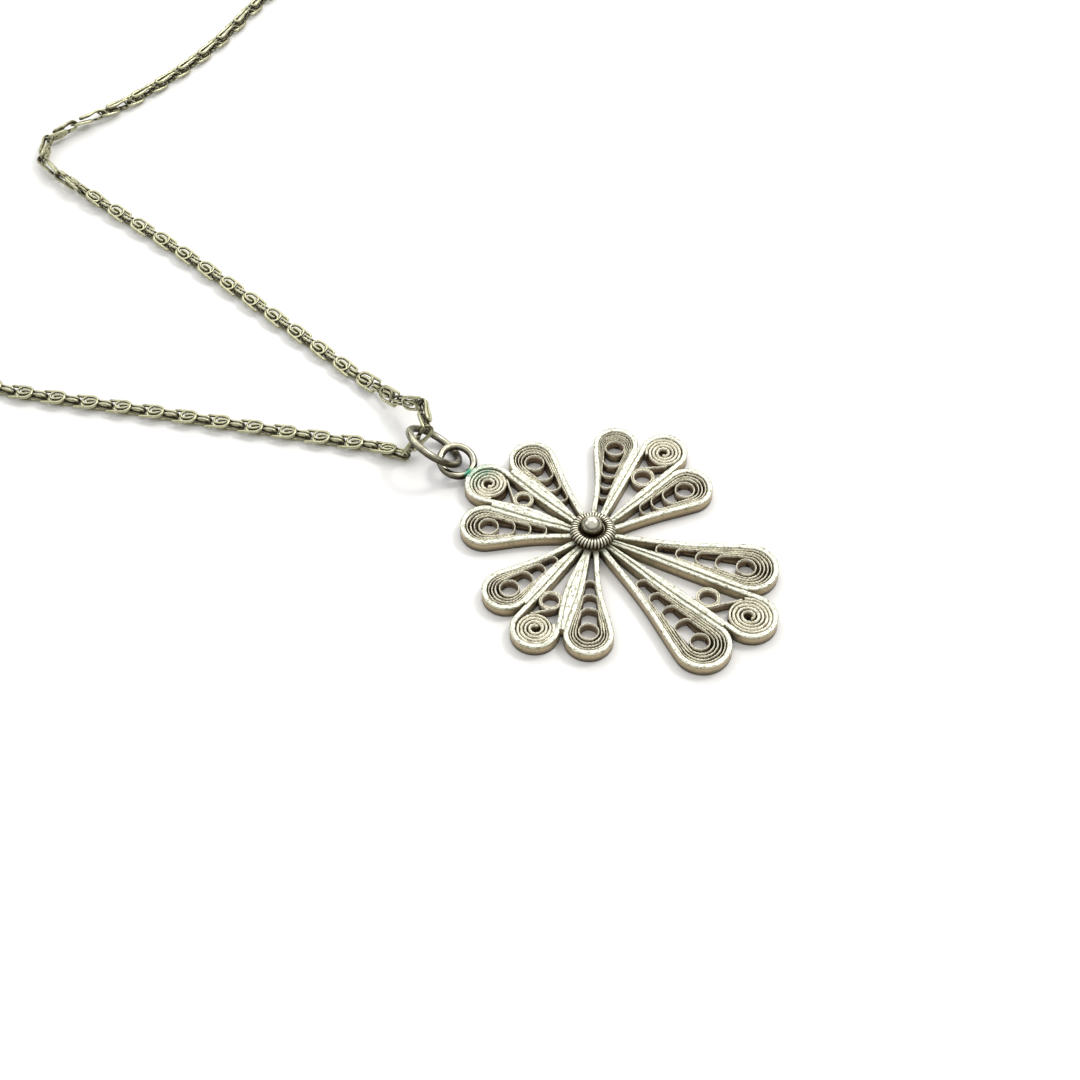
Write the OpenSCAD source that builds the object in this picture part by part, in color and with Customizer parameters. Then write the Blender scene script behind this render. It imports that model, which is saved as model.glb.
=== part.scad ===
// Filigree cross pendant on a scroll-link chain, lying flat with the chain spread in one loop.
// Millimetres, +Z up, z = 0 is the surface that it lies on, origin under the middle of its bounding box.
// The layout below is measured from the middle of the cross and moved to that origin at the end.

/* [Cross] */
// Height of the soldered frame of every petal
cross_h = 1.4; // [1.2:0.1:1.6]
// Width of the flat strip that makes a petal's frame
strip_w = 0.55; // [0.45:0.05:0.6]
// Half width of a petal's frame where it runs under the boss
root_w = 0.58; // [0.56:0.01:0.6]
// Height of the filigree plate inside the frames
fill_h = 1.1; // [0.9:0.05:1.2]
// Height of the filigree wires that stand proud of the plate
wire_h = 1.3; // [1.2:0.02:1.34]
// Width of a filigree wire seen from above
wire_w = 0.26; // [0.2:0.02:0.3]

/* [Boss] */
// Outer diameter of the coiled ring at the middle
boss_d = 4.56; // [4.2:0.02:4.8]
// Thickness of the coiled ring
boss_wire = 1.12; // [1:0.02:1.2]
// Diameter of the bead inside it
bead_d = 2.1; // [1.8:0.05:2.2]
// Height of the bead's top over the surface
bead_top = 3.7; // [3.4:0.1:4]

/* [Bail and jump ring] */
// Outer diameter of the soldered bail ring
bail_d = 4.4; // [4.2:0.1:4.6]
// Wire of the bail ring
bail_wire = 0.8; // [0.7:0.05:0.85]
// Outer diameter of the jump ring
jump_d = 6.9; // [6.7:0.1:7.1]
// Wire of the jump ring
jump_wire = 0.8; // [0.7:0.05:0.85]

/* [Chain] */
// Distance from one link's hinge to the next
pitch = 3.7; // [3.68:0.01:3.72]
// Width of a link
link_w = 1.9; // [1.8:0.05:2]
// Thickness of a link from its scroll face to its hairpin
link_h = 1.3; // [1.26:0.01:1.34]
// Width of a link's flattened wire at its sides
link_wire = 0.25; // [0.22:0.01:0.28]
// Links between the jump ring and the clasp on the near strand
near_links = 57; // [56:1:57]
// Links between the jump ring and the clasp on the far strand
far_links = 50; // [49:1:50]

/* [Clasp] */
// Diameter of the plain clasp barrel
clasp_d = 2.6; // [2.2:0.1:3]

/* [Hidden] */
$fn = 48;

// Petals round the boss. Columns: angle from +X, distance of the round end's centre, its radius,
// openings between the scallops of a coiled petal or 0 for one with a spiral disc, distance of the first
// scallop or of the small ring, and how far the left and right sides bow inwards, looking out from the boss.
ANGLE = 0;
REACH = 1;
RADIUS = 2;
SCALLOPS = 3;
FILL_X = 4;
BOW_LEFT = 5;
BOW_RIGHT = 6;
petals = [
  [77.8, 12.5, 2.36, 4, 5, 0.3, 0.1],
  [55.3, 13.6, 2.48, 0, 9.5, 0.05, 0.15],
  [32.1, 11.9, 2.58, 3, 6, 0.1, 0.15],
  [-14.9, 16.5, 2.93, 4, 6.7, 0.35, 0.3],
  [-33.5, 18.8, 2.73, 0, 14, 0.05, 0.15],
  [-52.2, 17.4, 2.97, 4, 7.5, 0.25, 0.3],
  [-92.7, 12.6, 2.53, 3, 5.9, 0.4, 0.3],
  [-116.7, 13.2, 2.52, 0, 9.4, 0.5, 0.1],
  [-141.4, 11.3, 2.5, 3, 4.8, 0.3, 0.25],
  [173.4, 11.2, 2.57, 3, 4.8, 0.25, 0.15],
  [147.3, 12.8, 2.57, 0, 8.6, 0.55, 0.15],
  [121.5, 11.9, 2.51, 3, 5.5, 0.35, 0.2],
];
bow_steps = 8;             // straight lengths that make a bowed side
root_x = 1.8;              // where a petal's sides start, hidden under the boss
side_share = 0.995;        // how far out a petal's sides meet its round end
hole_r = 0.9;              // round hole at the end of a coiled petal
hole_back = 0.4;           // that hole's place, back from the petal's round end
scallop_r = 1.15;          // radius of the scallop arcs
slot_w = 0.2;              // half width of the row of openings where it starts
coils = 3;                 // standing wires wound round each hole
coil_gap = 0.12;           // plate between the hole and its first wire
coil_back = 1.4;           // how far back from the hole its wires run
spiral_turns = 4;          // standing wires on each disc
small_ring_r = 1.28;       // largest radius of a small ring

// Bail ring: held at the edge of the disc that points to the chain.
bail_at = [-14.2, 9.85, 1.4];
bail_turn = 139;
bail_tilt = 16;

// Jump ring: leans on the surface, with its low side under the bail.
jump_at = [-16.6, 11, 0];
jump_turn = 36;
jump_tilt = 42;
jump_r = (jump_d - jump_wire) / 2;

// Link sections
fold_out = link_h / 2;     // outside of the fold that holds the next link
fold_wall = 0.28;          // thickness of the fold
fold_in = fold_out - fold_wall;
fold_w = 0.28;             // width of the fold
bar_r = 0.12;              // hinge bar inside the fold
plate_t = 0.26;            // thickness of the scroll plate
plate_rise = 0.51;         // height that the plate gains from its bar to its fold
plate_slope = atan(plate_rise / pitch);
open_end = 0.8;            // end of the opening behind the bar
face_x = 1.8;              // centre of the plate's round end
hairpin_t = 0.24;          // thickness of the hairpin
hairpin_x = 1.6;           // centre of the hairpin's round end
hairpin_r = 0.65;
hairpin_gap_r = 0.36;
hairpin_end = 2.6;

// Hinges of the links that pass through the jump ring. Columns: x, y, height, roll of the link from there.
passage = [
  [-23.25, 12.5, 0.74, -14],
  [-19.8, 11.15, 0.87, -68],
  [-17.3, 12.5, 3.24, -125],
  [-17.95, 16.15, 3.4, -82],
  [-20.8, 18, 1.98, -54],
  [-23.2, 20.7, 1.1, -22],
  [-26, 23.1, 0.72, 0],
];
// The near strand, from the jump ring round the left to the clasp. Columns: x, y, roll.
near_route = [
  [-23.25, 12.5, 0], [-30, 13.9, 0], [-37, 15.3, 0], [-44, 16.7, 0], [-51, 18.1, 0], [-58, 19.4, 0],
  [-65, 21, 0], [-71.5, 24.2, 0], [-77, 29.3, 0], [-81.5, 36, 0], [-84.8, 44, 0], [-87.2, 53, 0],
  [-88.7, 63, 0], [-89.5, 74, 0], [-89.8, 85, 0], [-89.7, 96, 0], [-89.2, 107, 0], [-88, 118, 0],
  [-85.7, 129, 0], [-81.8, 139.5, 0], [-76, 149, 0], [-68, 156.8, 0], [-58.5, 161.6, 0], [-48, 163.2, 0],
];
// The far strand, from the jump ring by the sharp bend and the right to the clasp. Columns: x, y, roll.
far_route = [
  [-26, 23.1, 0], [-29.5, 26.4, 0], [-34, 30.5, 0], [-39, 35.1, 0], [-44.5, 40, 0], [-50, 44.7, 0],
  [-55.5, 49, 0], [-60, 52.6, 30], [-63, 55.1, 55], [-64.9, 57.3, 75], [-65.4, 59.2, 90],
  [-64.7, 61, 105], [-62.9, 62.8, 125], [-60, 65, 150], [-55.5, 68.8, 180], [-50.5, 74, 180],
  [-46, 80, 180], [-41.5, 88, 180], [-36, 95.5, 180], [-29, 102.5, 180], [-22.5, 110, 180],
  [-18, 119, 180], [-16.2, 129, 180], [-17.2, 139.5, 180], [-21, 149, 180], [-27.5, 156.8, 180],
  [-36.5, 161.6, 180], [-46, 163.2, 180],
];
route_steps = 12;          // points worked out between two rows of a route

// Catmull-Rom curve through the rows of a route
function blend(a, b, c, d, t) =
  b + 0.5 * t * (c - a) + t * t * (a - 2.5 * b + 2 * c - 0.5 * d)
  + t * t * t * (1.5 * (b - c) + 0.5 * (d - a));
function curve(rows) = let (n = len(rows)) concat(
  [for (i = [0 : n - 2], k = [0 : route_steps - 1])
    blend(rows[max(i - 1, 0)], rows[i], rows[i + 1], rows[min(i + 2, n - 1)], k / route_steps)],
  [rows[n - 1]]);
function flat(p) = [p[0], p[1]];
// Distance along a curve at each of its points
function along(points) = [for (i = 0, s = 0; i < len(points);
  s = s + (i + 1 < len(points) ? norm(flat(points[i + 1] - points[i])) : 0), i = i + 1) s];
function column(points, marks, c) = [for (i = [0 : len(points) - 1]) [marks[i], points[i][c]]];
// Height of a hinge whose links rest on the surface at this roll
function rest_height(roll) = link_h / 2 * abs(cos(roll)) + link_w / 2 * abs(sin(roll)) + 0.01;
// Place on a route at distance s: x, y, height, roll
function spot(way, s) = let (roll = lookup(s, way[2]))
  [lookup(s, way[0]), lookup(s, way[1]), rest_height(roll), roll];
function place(p) = [p[0], p[1], p[2]];
// Distance along the route of the next hinge, one pitch away in a straight line
function stride(way, s, guess, tries) = tries == 0 ? guess
  : stride(way, s, guess + pitch - norm(place(spot(way, guess)) - place(spot(way, s))), tries - 1);
function route_hinges(rows, count) =
  let (points = curve(rows), marks = along(points), way = [for (c = [0 : 2]) column(points, marks, c)])
  [for (k = 0, s = stride(way, 0, pitch, 4); k < count; s = stride(way, s, s + pitch, 4), k = k + 1)
    [each place(spot(way, s)), lookup(s + pitch / 2, way[2])]];

near_hinges = route_hinges(near_route, near_links);
far_hinges = route_hinges(far_route, far_links);
hinges = concat([for (k = [near_links - 1 : -1 : 0]) near_hinges[k]], passage, far_hinges);
last = len(hinges) - 1;

// Bounding box of the layout, for the origin
low_x = min([for (h = hinges) h[0]]) - link_w / 2;
high_x = max([for (p = petals) p[REACH] * cos(p[ANGLE]) + p[RADIUS]]);
low_y = min([for (p = petals) p[REACH] * sin(p[ANGLE]) - p[RADIUS]]);
high_y = max([for (h = hinges) h[1] + link_w / 2, hinges[0][1] + clasp_d / 2]);
origin = [-(low_x + high_x) / 2, -(low_y + high_y) / 2, 0];

// Share of a side's bow at t, from 0 at the boss to 1 at the round end: full half way
function bow_share(t) = 16 * pow(t * (1 - t), 2);
// Half width of a straight-sided petal at x
function half_width(p, root, x) = root + (p[RADIUS] - root_w) * (x - root_x) / (p[REACH] - root_x);
// One side of a petal, from the boss to its round end
function side_line(start, end, bow) = [for (k = [0 : bow_steps]) let (t = k / bow_steps)
  start * (1 - t) + end * t - [0, bow * bow_share(t)]];
function mirrored(points) = [for (k = [len(points) - 1 : -1 : 0]) [points[k][0], -points[k][1]]];

// Outline of a petal: a round end, and sides that run just inside its tangents and bow inwards
module petal_outline(reach, radius, root, bow_left, bow_right) {
  lean = asin((radius - root) / (reach - root_x));
  end = [reach - radius * sin(lean), radius * cos(lean) * side_share];
  translate([reach, 0]) circle(radius);
  left = side_line([root_x, root], end, bow_left);
  right = side_line([root_x, root], end, bow_right);
  polygon(concat(left, mirrored(right)));
}

// Flat strip bent round the petal, on edge
module petal_frame(p) {
  linear_extrude(cross_h) difference() {
    petal_outline(p[REACH], p[RADIUS], root_w, p[BOW_LEFT], p[BOW_RIGHT]);
    petal_outline(p[REACH], p[RADIUS] - strip_w, root_w - strip_w + 0.03, p[BOW_LEFT], p[BOW_RIGHT]);
  }
}

// Round disc whose edge towards the middle of the cross is at x
module scallop_disc(x) {
  translate([x + scallop_r, 0]) circle(scallop_r);
}

// Filigree of a coiled petal: a plate with a hole and scallops, and wires wound round the hole
module coiled_fill(p) {
  inner_r = p[RADIUS] - strip_w;
  hole_x = p[REACH] - hole_back;
  step = (hole_x - hole_r - wire_w - p[FILL_X]) / p[SCALLOPS];
  translate([0, 0, (cross_h - fill_h) / 2]) linear_extrude(fill_h) difference() {
    petal_outline(p[REACH], inner_r + 0.05, root_w - strip_w + 0.08, p[BOW_LEFT], p[BOW_RIGHT]);
    difference() {
      square([2 * (p[FILL_X] + scallop_r), 2 * inner_r], center = true);
      scallop_disc(p[FILL_X]);
    }
    translate([hole_x, 0]) circle(hole_r);
    for (k = [0 : p[SCALLOPS] - 1]) intersection() {
      petal_outline(hole_x, hole_r, slot_w, 0, 0);
      difference() {
        scallop_disc(p[FILL_X] + step * k + wire_w);
        scallop_disc(p[FILL_X] + step * (k + 1));
      }
    }
  }
  translate([0, 0, (cross_h - wire_h) / 2]) linear_extrude(wire_h) intersection() {
    translate([hole_x - coil_back, -2 * inner_r]) square([4 * inner_r, 4 * inner_r]);
    for (k = [0 : coils - 1]) {
      part = k / (coils - 1);
      x = hole_x + hole_back * part;
      r = (hole_r + coil_gap + wire_w) * (1 - part) + (inner_r + 0.07) * part;
      difference() {
        petal_outline(x, r, 0.25, 0, 0);
        petal_outline(x, r - wire_w, 0.15, 0, 0);
      }
    }
  }
}

// Filigree of a disc petal: a flat spiral disc at the round end, and a small ring against the right side
module disc_fill(p) {
  disc_r = p[RADIUS] - strip_w + 0.05;
  share = bow_share((p[FILL_X] - root_x) / (p[REACH] - root_x));
  straight = half_width(p, root_w - strip_w + 0.12, p[FILL_X]);
  ring_r = min(straight - share * (p[BOW_LEFT] + p[BOW_RIGHT]) / 2, small_ring_r);
  ring_y = ring_r - straight + share * p[BOW_RIGHT];
  translate([p[REACH], 0, (cross_h - fill_h) / 2]) linear_extrude(fill_h) difference() {
    circle(disc_r);
    circle(0.32);
  }
  for (k = [1 : spiral_turns]) translate([p[REACH], 0, (cross_h - wire_h) / 2]) linear_extrude(wire_h)
    difference() {
      circle(0.4 + (disc_r - 0.4) * k / spiral_turns - 0.02);
      circle(0.4 + (disc_r - 0.4) * k / spiral_turns - 0.02 - wire_w);
    }
  translate([p[FILL_X], ring_y, (cross_h - wire_h) / 2]) linear_extrude(wire_h) difference() {
    circle(ring_r);
    circle(ring_r - 1.5 * wire_w);
  }
}

// Coiled ring and bead over the meeting of the petals
module boss() {
  ring_r = (boss_d - boss_wire) / 2;
  translate([0, 0, 0.06]) cylinder(r = boss_d / 2 - 0.06, h = cross_h);
  translate([0, 0, cross_h + boss_wire * 0.3]) rotate_extrude() translate([ring_r, 0]) circle(boss_wire / 2);
  translate([0, 0, cross_h - 0.2]) cylinder(d = bead_d - 0.3, h = bead_top - bead_d / 2 - cross_h + 0.2);
  translate([0, 0, bead_top - bead_d / 2]) sphere(d = bead_d);
}

module ring(outer_d, wire) {
  rotate_extrude() translate([(outer_d - wire) / 2, 0]) circle(d = wire);
}

module bail() {
  translate(bail_at) rotate([0, -bail_tilt, bail_turn]) ring(bail_d, bail_wire);
}

module cross() {
  color("silver") translate(origin) {
    for (p = petals) rotate(p[ANGLE]) {
      petal_frame(p);
      if (p[SCALLOPS] > 0) coiled_fill(p);
      else disc_fill(p);
    }
    boss();
    bail();
  }
}

module jump_ring() {
  rise = jump_wire / 2 + jump_r * sin(jump_tilt);
  color("gainsboro") translate(origin + jump_at + [0, 0, rise]) rotate([0, jump_tilt, jump_turn])
    ring(jump_d, jump_wire);
}

// Rounded slot, one of the two gaps in a link's scroll
module scroll_gap() {
  translate([-0.25, 0.4]) square([0.5, 0.36], center = true);
  translate([0, 0.4]) circle(0.18);
  translate([-0.5, 0.4]) circle(0.18);
}

// Start of a link: a bar across two side wires, which the link before holds
module link_head(length) {
  rotate([90, 0, 0]) cylinder(r = bar_r, h = link_w - link_wire, center = true);
  rotate([0, -plate_slope, 0]) linear_extrude(plate_t, center = true) difference() {
    translate([-bar_r, -link_w / 2]) square([length + bar_r, link_w]);
    translate([-1, -link_w / 2 + link_wire]) square([1 + open_end, link_w - 2 * link_wire]);
  }
}

// End of a link: a narrow strap folded round the next link's bar
module link_fold() {
  rotate([90, 0, 0]) rotate([0, 0, -90]) rotate_extrude(angle = 180) translate([fold_in, -fold_w / 2])
    square([fold_wall, fold_w]);
}

// Scroll link: a plate with a scroll on the front and a hairpin on the back
module link() {
  link_head(face_x);
  rotate([0, -plate_slope, 0]) linear_extrude(plate_t, center = true) {
    difference() {
      intersection() {
        translate([face_x, 0]) circle(d = link_w);
        translate([open_end, -link_w]) square([pitch, 2 * link_w]);
      }
      for (turn = [0, 180]) translate([face_x, 0]) rotate(turn) scroll_gap();
    }
    translate([face_x + 0.8, -fold_w / 2]) square([(pitch + 0.03) / cos(plate_slope) - face_x - 0.8, fold_w]);
  }
  translate([pitch, 0, 0]) link_fold();
  translate([0, 0, -fold_out + (fold_wall - hairpin_t) / 2]) linear_extrude(hairpin_t) difference() {
    union() {
      translate([hairpin_x, 0]) circle(hairpin_r);
      translate([hairpin_x, -hairpin_r]) square([hairpin_end - hairpin_x, 2 * hairpin_r]);
      translate([hairpin_x, -fold_w / 2]) square([pitch + 0.03 - hairpin_x, fold_w]);
    }
    translate([hairpin_x, 0]) circle(hairpin_gap_r);
    translate([hairpin_x, -hairpin_gap_r]) square([0.75, 2 * hairpin_gap_r]);
  }
}

// Puts a piece at hinge a, pointing at hinge b
module between(a, b) {
  way = place(b) - place(a);
  heading = atan2(way[1], way[0]);
  climb = atan2(way[2], norm(flat(way)));
  translate(origin + place(a)) rotate([a[3], -climb, heading]) children();
}

module chain() {
  color("lightgray") for (i = [0 : last - 1]) between(hinges[i], hinges[i + 1]) link();
}

// Plain barrel that takes a link's fold at one end and holds a link's bar at the other
module clasp() {
  start = hinges[last];
  end = hinges[0];
  length = norm(place(end) - place(start));
  lift = (clasp_d - link_h) / 2;
  color("silver") between([start[0], start[1], start[2], 0], end) {
    link_head(2.2);
    translate([1.4, 0, lift]) rotate([0, 90, 0]) cylinder(d = clasp_d, h = length - 2.8);
    translate([length - 1.6, -fold_w / 2, fold_in + 0.02]) cube([1.63, fold_w, fold_wall - 0.04]);
    translate([length - 1.6, -fold_w / 2, -fold_out + 0.02]) cube([1.63, fold_w, fold_wall - 0.04]);
    translate([length, 0, 0]) link_fold();
  }
}

cross();
jump_ring();
chain();
clasp();
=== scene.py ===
import math
import random
import bpy
from mathutils import Euler, Matrix, Vector
from mathutils.bvhtree import BVHTree


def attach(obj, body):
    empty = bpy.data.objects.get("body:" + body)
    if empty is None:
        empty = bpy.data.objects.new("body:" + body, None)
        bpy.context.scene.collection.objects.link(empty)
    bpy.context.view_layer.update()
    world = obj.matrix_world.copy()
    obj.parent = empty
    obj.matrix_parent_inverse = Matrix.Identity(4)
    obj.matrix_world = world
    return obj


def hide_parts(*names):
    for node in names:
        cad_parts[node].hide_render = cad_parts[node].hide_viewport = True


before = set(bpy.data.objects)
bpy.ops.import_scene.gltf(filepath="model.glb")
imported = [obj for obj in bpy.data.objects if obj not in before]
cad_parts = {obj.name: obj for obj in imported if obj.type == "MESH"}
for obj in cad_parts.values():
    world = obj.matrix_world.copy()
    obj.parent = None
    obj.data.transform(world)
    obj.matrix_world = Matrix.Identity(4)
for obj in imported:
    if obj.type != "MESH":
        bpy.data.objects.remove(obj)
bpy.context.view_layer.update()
print("frame loaded:", ", ".join(sorted(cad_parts)))

# Settings below are in millimetres and degrees where nothing else is said. The scene is in metres.
mm = 0.001
crossAt = Vector((35.944, -73.684, 0))  # middle of the cross
scene = bpy.context.scene


# Sockets and nodes

class Socket:
    # One output of a node. Sums and products on it add Math nodes to its tree.
    def __init__(self, graph, link):
        self.graph, self.link = graph, link

    def maths(self, operation, *values):
        return self.graph.node("ShaderNodeMath", {"operation": operation}, dict(enumerate(values)))

    def __add__(self, other):
        return self.maths("ADD", self, other)

    def __radd__(self, other):
        return self.maths("ADD", other, self)

    def __sub__(self, other):
        return self.maths("SUBTRACT", self, other)

    def __rsub__(self, other):
        return self.maths("SUBTRACT", other, self)

    def __mul__(self, other):
        return self.maths("MULTIPLY", self, other)

    def __rmul__(self, other):
        return self.maths("MULTIPLY", other, self)

    def __truediv__(self, other):
        return self.maths("DIVIDE", self, other)

    def __rtruediv__(self, other):
        return self.maths("DIVIDE", other, self)

    def sine(self):
        return self.maths("SINE", self)

    def absolute(self):
        return self.maths("ABSOLUTE", self)

    def swing(self, spread):
        # noise that runs from 0 to 1, made to swing round 0
        return (self - 0.5) * spread

    def ramp(self, low, high, first=0.0, last=1.0):
        # smooth step from low to high, given out as first to last
        return self.graph.node("ShaderNodeMapRange", {"interpolation_type": "SMOOTHSTEP"}, {
            "Value": self, "From Min": low, "From Max": high, "To Min": first, "To Max": last})

    def out(self, name):
        # another output of the same node
        return Socket(self.graph, self.link.node.outputs[name])


class Graph:
    # A node tree, with one method that adds any node: type, settings, then values or links by socket
    def __init__(self, tree):
        self.tree = tree

    def node(self, kind, settings=None, values=None, out=0):
        node = self.tree.nodes.new(kind)
        for key, value in (settings or {}).items():
            setattr(node, key, value)
        for key, value in (values or {}).items():
            if isinstance(value, Socket):
                self.tree.links.new(value.link, node.inputs[key])
            else:
                node.inputs[key].default_value = value
        return Socket(self, node.outputs[out]) if node.outputs else None

    def attribute(self, name):
        return self.node("ShaderNodeAttribute", {"attribute_name": name}, out="Fac")

    def blend(self, share, first, second):
        # colour that goes from first to second as share goes from 0 to 1
        return self.node("ShaderNodeMix", {"data_type": "RGBA", "clamp_factor": True}, {
            0: share, 6: first, 7: second}, out=2)

    def vector(self, operation, *values):
        return self.node("ShaderNodeVectorMath", {"operation": operation}, dict(enumerate(values)),
                         out="Value" if operation == "DISTANCE" else "Vector")

    def scaled(self, vector, share):
        return self.node("ShaderNodeVectorMath", {"operation": "SCALE"}, {0: vector, "Scale": share},
                         out="Vector")

    def combined(self, x=0.0, y=0.0, z=0.0):
        return self.node("ShaderNodeCombineXYZ", None, {"X": x, "Y": y, "Z": z})


# Paths and sweeping

# filigree wire twisted from two strands: length of one turn, depth of the groove, and how far the groove
# leans across the wire, in radians
rope = {"turn": 0.36, "depth": 0.035, "lean": 3.0}


def newTree(name, inputs):
    # geometry tree with its named inputs and one geometry output
    tree = bpy.data.node_groups.new(name, "GeometryNodeTree")
    tree.interface.new_socket("Geometry", in_out="INPUT", socket_type="NodeSocketGeometry")
    for key, kind in inputs.items():
        tree.interface.new_socket(key, in_out="INPUT", socket_type="NodeSocket" + kind)
    tree.interface.new_socket("Geometry", in_out="OUTPUT", socket_type="NodeSocketGeometry")
    graph = Graph(tree)
    return graph, graph.node("NodeGroupInput")


def finishTree(graph, given, geometry):
    done = graph.node("GeometryNodeRealizeInstances", None, {"Geometry": geometry})
    done = graph.node("GeometryNodeSetMaterial", None, {"Geometry": done, "Material": given.out("Material")})
    graph.node("NodeGroupOutput", None, {"Geometry": done})
    return graph.tree


def store(graph, geometry, name, value, kind="FLOAT"):
    return graph.node("GeometryNodeStoreNamedAttribute", {"data_type": kind, "domain": "POINT"}, {
        "Geometry": geometry, "Name": name, "Value": value})


def recall(graph, name, kind="FLOAT"):
    return graph.node("GeometryNodeInputNamedAttribute", {"data_type": kind}, {"Name": name})


def forget(graph, geometry, *names):
    for name in names:
        geometry = graph.node("GeometryNodeRemoveAttribute", None, {"Geometry": geometry, "Name": name})
    return geometry


def dentNoise(graph, given, place):
    return graph.node("ShaderNodeTexNoise", {"noise_dimensions": "4D"}, {
        "Vector": place, "W": given.out("Seed"), "Scale": 1.0 / given.out("Dent Size"), "Detail": 2.0})


def dentSway(graph, noise, depth):
    # moves a point to any side, by the three colour channels of the noise
    return graph.scaled(graph.vector("SUBTRACT", noise.out("Color"), (0.5, 0.5, 0.5)), depth)


def buildStripTree():
    # sweeps an upright section along flat paths; every path point carries its width, height and foot
    graph, given = newTree("sweepStrip", {
        "Section": "Object", "Dent Size": "Float", "Dent Depth": "Float", "Twist": "Float",
        "Twist Depth": "Float", "Seed": "Float", "Material": "Material"})
    rail = graph.node("GeometryNodeMeshToCurve", None, {"Mesh": given.out("Geometry")})
    tangent = graph.node("GeometryNodeInputTangent")
    aside = graph.vector("NORMALIZE", graph.vector("CROSS_PRODUCT", tangent, (0, 0, 1)))
    rail = store(graph, rail, "aside", aside, "FLOAT_VECTOR")
    rail = store(graph, rail, "middle", graph.node("GeometryNodeInputPosition"), "FLOAT_VECTOR")
    rail = store(graph, rail, "along", graph.node("GeometryNodeSplineParameter", out="Length"))
    section = graph.node("GeometryNodeObjectInfo", None, {"Object": given.out("Section")}, out="Geometry")
    section = graph.node("GeometryNodeMeshToCurve", None, {"Mesh": section})
    section = store(graph, section, "section", graph.node("GeometryNodeInputPosition"), "FLOAT_VECTOR")
    swept = graph.node("GeometryNodeCurveToMesh", None, {
        "Curve": rail, "Profile Curve": section, "Fill Caps": True})
    # every point is then set anew: from the path aside by its width, and straight up by its height
    across = graph.node("ShaderNodeSeparateXYZ", None, {0: recall(graph, "section", "FLOAT_VECTOR")})
    up = across.out("Y")
    beside = graph.scaled(recall(graph, "aside", "FLOAT_VECTOR"), across * recall(graph, "wide"))
    seat = graph.vector("ADD", recall(graph, "middle", "FLOAT_VECTOR"), beside)
    place = graph.vector("ADD", seat, graph.combined(z=recall(graph, "foot") + up * recall(graph, "tall")))
    # dents and twist grow from nothing at the foot
    noise = dentNoise(graph, given, place)
    phase = recall(graph, "along") * math.tau / given.out("Twist") + across * rope["lean"]
    sink = (noise.swing(given.out("Dent Depth")) + phase.sine() * given.out("Twist Depth")) * up
    sway = graph.vector("MULTIPLY", dentSway(graph, noise, given.out("Dent Depth") * up), (1, 1, 0))
    place = graph.vector("ADD", graph.vector("ADD", place, sway), graph.combined(z=sink))
    swept = graph.node("GeometryNodeSetPosition", None, {"Geometry": swept, "Position": place})
    swept = store(graph, swept, "rise", up)
    swept = store(graph, swept, "across", across)
    swept = forget(graph, swept, "aside", "middle", "section", "wide", "tall", "foot")
    swept = graph.node("GeometryNodeSetShadeSmooth", None, {"Geometry": swept})
    return finishTree(graph, given, swept)


def buildTubeTree():
    # sweeps a round wire along paths in space; every path point carries its radius
    graph, given = newTree("sweepTube", {
        "Sides": "Int", "Dent Size": "Float", "Dent Depth": "Float", "Seed": "Float",
        "Material": "Material"})
    rail = graph.node("GeometryNodeMeshToCurve", None, {"Mesh": given.out("Geometry")})
    section = graph.node("GeometryNodeCurvePrimitiveCircle", None, {
        "Resolution": given.out("Sides"), "Radius": 1.0})
    swept = graph.node("GeometryNodeCurveToMesh", None, {
        "Curve": rail, "Profile Curve": section, "Fill Caps": True, "Scale": recall(graph, "thick")})
    noise = dentNoise(graph, given, graph.node("GeometryNodeInputPosition"))
    swept = graph.node("GeometryNodeSetPosition", None, {
        "Geometry": swept, "Offset": dentSway(graph, noise, given.out("Dent Depth"))})
    swept = forget(graph, swept, "thick")
    swept = graph.node("GeometryNodeSetShadeSmooth", None, {"Geometry": swept})
    return finishTree(graph, given, swept)


class Rails:
    # Paths for a tree: points, edges between them and values at every point
    def __init__(self, *names):
        self.points, self.edges, self.values = [], [], {name: [] for name in names}

    def add(self, path, closed=False, **values):
        first = len(self.points)
        self.points += [Vector(p) for p in path]
        self.edges += [(first + i, first + i + 1) for i in range(len(path) - 1)]
        if closed:
            self.edges.append((first + len(path) - 1, first))
        for name, value in values.items():
            self.values[name] += list(value) if hasattr(value, "__len__") else [value] * len(path)

    def mesh(self, name):
        mesh = bpy.data.meshes.new(name)
        mesh.from_pydata([p * mm for p in self.points], self.edges, [])
        for key, values in self.values.items():
            stored = mesh.attributes.new(key, "FLOAT", "POINT")
            stored.data.foreach_set("value", [v * mm for v in values])
        return mesh


def loose(name, mesh):
    thing = bpy.data.objects.new(name, mesh)
    scene.collection.objects.link(thing)
    return thing


def sectionObject(name, outline):
    # closed section of a strip: across from -0.5 to 0.5, up from 0 to 1
    mesh = bpy.data.meshes.new(name)
    count = len(outline)
    mesh.from_pydata([(x, y, 0) for x, y in outline], [(i, (i + 1) % count) for i in range(count)], [])
    return loose(name, mesh)


def dents(size, depth, seed):
    return {"Dent Size": size * mm, "Dent Depth": depth * mm, "Seed": seed}


def grow(name, mesh, tree, settings):
    # runs a tree on a mesh and keeps the result as a plain mesh
    thing = loose(name, mesh)
    modifier = thing.modifiers.new("grow", "NODES")
    modifier.node_group = tree
    for item in tree.interface.items_tree:
        if item.in_out == "INPUT" and item.name in settings:
            modifier[item.identifier] = settings[item.name]
    bpy.context.view_layer.update()
    deps = bpy.context.evaluated_depsgraph_get()
    result = bpy.data.meshes.new_from_object(
        thing.evaluated_get(deps), preserve_all_data_layers=True, depsgraph=deps)
    thing.modifiers.remove(modifier)
    thing.data = result
    result.name = name
    bpy.data.meshes.remove(mesh)
    return thing


def triangles(thing):
    return sum(len(p.vertices) - 2 for p in thing.data.polygons)


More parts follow.
